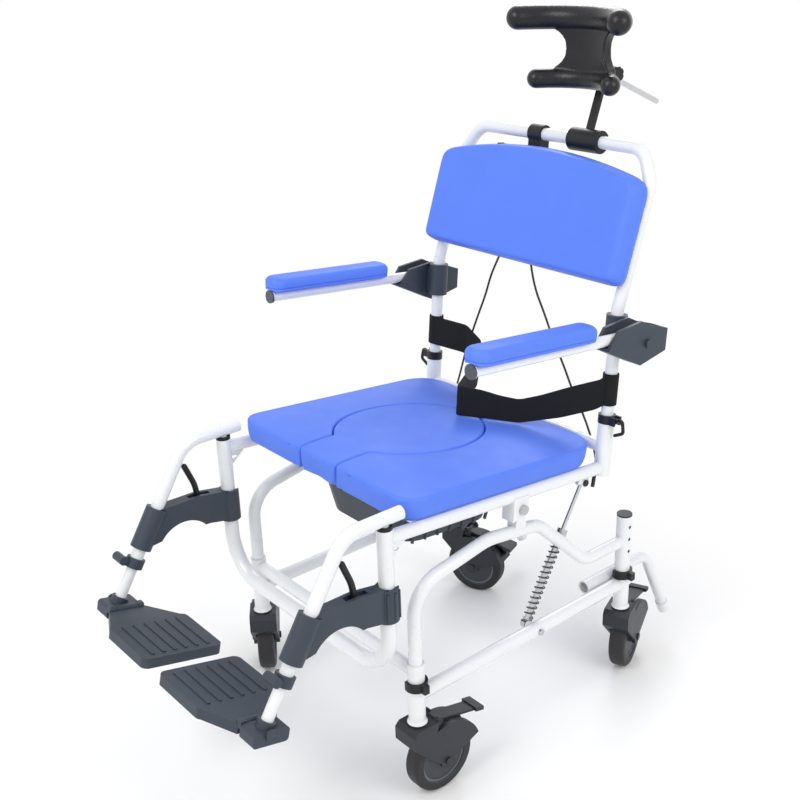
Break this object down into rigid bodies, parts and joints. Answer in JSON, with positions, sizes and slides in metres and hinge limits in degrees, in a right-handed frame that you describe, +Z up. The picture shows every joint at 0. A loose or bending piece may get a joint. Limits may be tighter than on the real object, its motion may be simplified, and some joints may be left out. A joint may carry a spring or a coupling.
{
  "type": "tilt shower commode chair",
  "caption": "Wheeled shower and commode chair with a tilting seat, flip-up armrests, swing-away legrests, lap belt, headrest and a lift-out seat insert over a pan.",
  "frame": {"origin": "on the floor, under the middle of the outline", "axes": "+Z up, the chair faces -Y, the sitter's left is +X"},
  "size_m": [0.6335, 1.0835, 1.223],
  "materials": {
    "white_tube": "white gloss powder coat",
    "grey_plastic": "matt moulded",
    "black_plastic": "matt moulded",
    "plated_steel": "bright zinc plated",
    "caster_plastic": "matt moulded",
    "tyre": "dark grey tread",
    "upholstery": "soft grained vinyl over foam",
    "pad_skin": "moulded skin over foam",
    "headrest_foam": "black skin over foam",
    "pan_plastic": "ribbed moulded",
    "webbing": "woven strap",
    "cable_sheath": "smooth sheath"
  },
  "bodies": {
    "base": {"wheelbase_left": "white_tube", "wheelbase_right": "white_tube", "front_cross_tube": "white_tube", "upper_frame_left": "white_tube", "upper_frame_right": "white_tube", "leg_fittings": "black_plastic", "frame_bolts": "plated_steel"},
    "seat": {"seat_rail_left": "white_tube", "seat_rail_right": "white_tube", "front_hoop": "white_tube", "seat_cross_tubes": "white_tube", "pan_runners": "white_tube", "seat_fittings": "black_plastic", "seat_cushion": "upholstery", "back_frame": "white_tube", "back_pad": "upholstery", "socket_collars": "black_plastic", "lap_belt": "webbing", "armrest_brackets": "grey_plastic", "release_cables": "cable_sheath"},
    "caster_front_left": {"fork_front_left": "caster_plastic"},
    "wheel_front_left": {"wheel_front_left": "tyre"},
    "brake_front_left": {"brake_front_left": "black_plastic"},
    "caster_rear_left": {"fork_rear_left": "caster_plastic"},
    "wheel_rear_left": {"wheel_rear_left": "tyre"},
    "brake_rear_left": {"brake_rear_left": "black_plastic"},
    "caster_front_right": {"fork_front_right": "caster_plastic"},
    "wheel_front_right": {"wheel_front_right": "tyre"},
    "brake_front_right": {"brake_front_right": "black_plastic"},
    "caster_rear_right": {"fork_rear_right": "caster_plastic"},
    "wheel_rear_right": {"wheel_rear_right": "tyre"},
    "brake_rear_right": {"brake_rear_right": "black_plastic"},
    "anti_tip_left": {"anti_tip_left": "white_tube"},
    "anti_tip_right": {"anti_tip_right": "white_tube"},
    "strut_cylinders": {"strut_cylinders": "black_plastic", "strut_springs": "plated_steel"},
    "strut_rods": {"strut_rods": "plated_steel"},
    "seat_insert": {"seat_insert": "upholstery"},
    "commode_pan": {"commode_pan": "pan_plastic"},
    "collar_lever_left": {"collar_lever_left": "black_plastic"},
    "armrest_left": {"arm_tube_left": "white_tube", "arm_pad_left": "pad_skin"},
    "legrest_left": {"hanger_left": "white_tube", "swing_arm_left": "grey_plastic"},
    "latch_left": {"latch_lever_left": "black_plastic"},
    "extension_left": {"extension_left": "grey_plastic"},
    "footplate_left": {"footplate_left": "grey_plastic"},
    "collar_lever_right": {"collar_lever_right": "black_plastic"},
    "armrest_right": {"arm_tube_right": "white_tube", "arm_pad_right": "pad_skin"},
    "legrest_right": {"hanger_right": "white_tube", "swing_arm_right": "grey_plastic"},
    "latch_right": {"latch_lever_right": "black_plastic"},
    "extension_right": {"extension_right": "grey_plastic"},
    "footplate_right": {"footplate_right": "grey_plastic"},
    "headrest_stem": {"headrest_stem": "black_plastic"},
    "headrest_knob": {"headrest_knob": "black_plastic"},
    "headrest_bar": {"headrest_bar": "plated_steel"},
    "headrest_pad": {"headrest_pad": "headrest_foam"},
    "tilt_lever": {"tilt_lever": "black_plastic"}
  },
  "joints": [
    {"name": "seat_tilt", "type": "hinge", "parent": "base", "child": "seat", "pos_m": [0.03, 0.031, 0.462], "axis": [-1, 0, 0], "range_deg": [0, 25]},
    {"name": "swivel_front_left", "type": "hinge", "parent": "base", "child": "caster_front_left", "pos_m": [0.258, -0.197, 0.153], "axis": [0, 0, 1], "continuous": true},
    {"name": "spin_front_left", "type": "hinge", "parent": "caster_front_left", "child": "wheel_front_left", "pos_m": [0.258, -0.153, 0.0625], "axis": [1, 0, 0], "continuous": true},
    {"name": "brake_front_left", "type": "hinge", "parent": "caster_front_left", "child": "brake_front_left", "pos_m": [0.258, -0.167, 0.143], "axis": [-1, 0, 0], "range_deg": [0, 6]},
    {"name": "swivel_rear_left", "type": "hinge", "parent": "base", "child": "caster_rear_left", "pos_m": [0.258, 0.309, 0.153], "axis": [0, 0, 1], "continuous": true},
    {"name": "spin_rear_left", "type": "hinge", "parent": "caster_rear_left", "child": "wheel_rear_left", "pos_m": [0.24109, 0.34962, 0.0625], "axis": [0.9232, 0.3843, 0], "continuous": true},
    {"name": "brake_rear_left", "type": "hinge", "parent": "caster_rear_left", "child": "brake_rear_left", "pos_m": [0.24647, 0.3367, 0.143], "axis": [-0.9232, -0.3843, 0], "range_deg": [0, 6]},
    {"name": "swivel_front_right", "type": "hinge", "parent": "base", "child": "caster_front_right", "pos_m": [-0.198, -0.197, 0.153], "axis": [0, 0, 1], "continuous": true},
    {"name": "spin_front_right", "type": "hinge", "parent": "caster_front_right", "child": "wheel_front_right", "pos_m": [-0.23404, -0.17176, 0.0625], "axis": [0.5736, 0.8192, 0], "continuous": true},
    {"name": "brake_front_right", "type": "hinge", "parent": "caster_front_right", "child": "brake_front_right", "pos_m": [-0.22257, -0.17979, 0.143], "axis": [-0.5736, -0.8192, 0], "range_deg": [0, 6]},
    {"name": "swivel_rear_right", "type": "hinge", "parent": "base", "child": "caster_rear_right", "pos_m": [-0.198, 0.309, 0.153], "axis": [0, 0, 1], "continuous": true},
    {"name": "spin_rear_right", "type": "hinge", "parent": "caster_rear_right", "child": "wheel_rear_right", "pos_m": [-0.15692, 0.32477, 0.0625], "axis": [0.3584, -0.9336, 0], "continuous": true},
    {"name": "brake_rear_right", "type": "hinge", "parent": "caster_rear_right", "child": "brake_rear_right", "pos_m": [-0.16999, 0.31975, 0.143], "axis": [-0.3584, 0.9336, 0], "range_deg": [0, 6]},
    {"name": "anti_tip_left", "type": "hinge", "parent": "base", "child": "anti_tip_left", "pos_m": [0.232, 0.352, 0.212], "axis": [0, -1, 0], "range_deg": [0, 180]},
    {"name": "anti_tip_right", "type": "hinge", "parent": "base", "child": "anti_tip_right", "pos_m": [-0.172, 0.352, 0.212], "axis": [0, 1, 0], "range_deg": [0, 180]},
    {"name": "strut_lean", "type": "hinge", "parent": "base", "child": "strut_cylinders", "pos_m": [0.03, 0.078, 0.204], "axis": [-1, 0, 0], "range_deg": [0, 4.95]},
    {"name": "strut_stroke", "type": "slide", "parent": "strut_cylinders", "child": "strut_rods", "axis": [0, -0.51, -0.8602], "range_m": [0, 0.0787]},
    {"name": "insert_lift", "type": "slide", "parent": "seat", "child": "seat_insert", "axis": [0, 0.0872, 0.9962], "range_m": [0, 0.08], "deforming": ["lap_belt"]},
    {"name": "pan_slide", "type": "slide", "parent": "seat", "child": "commode_pan", "axis": [0, 0.9962, -0.0872], "range_m": [0, 0.21]},
    {"name": "collar_lever_left", "type": "hinge", "parent": "seat", "child": "collar_lever_left", "pos_m": [0.2773, 0.25001, 0.55587], "axis": [0, -0.9962, 0.0872], "range_deg": [0, 80]},
    {"name": "armrest_left", "type": "hinge", "parent": "seat", "child": "armrest_left", "pos_m": [0.293, 0.28162, 0.69906], "axis": [-1, 0, 0], "range_deg": [0, 95]},
    {"name": "legrest_swing_left", "type": "hinge", "parent": "seat", "child": "legrest_left", "pos_m": [0.256, -0.247, 0.525], "axis": [0, 0, 1], "range_deg": [0, 90]},
    {"name": "latch_left", "type": "hinge", "parent": "legrest_left", "child": "latch_left", "pos_m": [0.256, -0.307, 0.419], "axis": [-1, 0, 0], "range_deg": [0, 18], "stiffness_Nm_per_rad": 0.4, "springref_deg": -20.05},
    {"name": "extension_left", "type": "slide", "parent": "legrest_left", "child": "extension_left", "axis": [0, -0.5299, -0.848], "range_m": [0, 0.04]},
    {"name": "footplate_left", "type": "hinge", "parent": "extension_left", "child": "footplate_left", "pos_m": [0.232, -0.48779, 0.29194], "axis": [0, 0.9703, -0.2419], "range_deg": [0, 85]},
    {"name": "collar_lever_right", "type": "hinge", "parent": "seat", "child": "collar_lever_right", "pos_m": [-0.2173, 0.25001, 0.55587], "axis": [0, 0.9962, -0.0872], "range_deg": [0, 80]},
    {"name": "armrest_right", "type": "hinge", "parent": "seat", "child": "armrest_right", "pos_m": [-0.233, 0.28162, 0.69906], "axis": [-1, 0, 0], "range_deg": [0, 95]},
    {"name": "legrest_swing_right", "type": "hinge", "parent": "seat", "child": "legrest_right", "pos_m": [-0.196, -0.247, 0.525], "axis": [0, 0, -1], "range_deg": [0, 90]},
    {"name": "latch_right", "type": "hinge", "parent": "legrest_right", "child": "latch_right", "pos_m": [-0.196, -0.307, 0.419], "axis": [-1, 0, 0], "range_deg": [0, 18], "stiffness_Nm_per_rad": 0.4, "springref_deg": -20.05},
    {"name": "extension_right", "type": "slide", "parent": "legrest_right", "child": "extension_right", "axis": [0, -0.5299, -0.848], "range_m": [0, 0.04]},
    {"name": "footplate_right", "type": "hinge", "parent": "extension_right", "child": "footplate_right", "pos_m": [-0.172, -0.48779, 0.29194], "axis": [0, -0.9703, 0.2419], "range_deg": [0, 85]},
    {"name": "headrest_swing", "type": "hinge", "parent": "seat", "child": "headrest_stem", "pos_m": [0.1, 0.3542, 1.00088], "axis": [-1, 0, 0], "range_deg": [-20, 30]},
    {"name": "headrest_knob", "type": "hinge", "parent": "headrest_stem", "child": "headrest_knob", "pos_m": [0.1, 0.3947, 1.10998], "axis": [1, 0, 0], "continuous": true},
    {"name": "headrest_depth", "type": "slide", "parent": "headrest_stem", "child": "headrest_bar", "axis": [0, -0.9205, 0.3907], "range_m": [0, 0.05]},
    {"name": "headrest_pitch", "type": "hinge", "parent": "headrest_bar", "child": "headrest_pad", "pos_m": [0.1, 0.37905, 1.11662], "axis": [1, 0, 0], "range_deg": [-20, 20]},
    {"name": "tilt_lever", "type": "hinge", "parent": "seat", "child": "tilt_lever", "pos_m": [-0.015, 0.3515, 0.97], "axis": [0, 0.9962, -0.0872], "range_deg": [0, 9], "stiffness_Nm_per_rad": 0.6, "springref_deg": -14.32}
  ],
  "couplings": [
    {"joint": "strut_lean", "follows": "seat_tilt", "ratio": 0.196},
    {"joint": "strut_stroke", "follows": "seat_tilt", "m_per_rad": 0.17991}
  ]
}
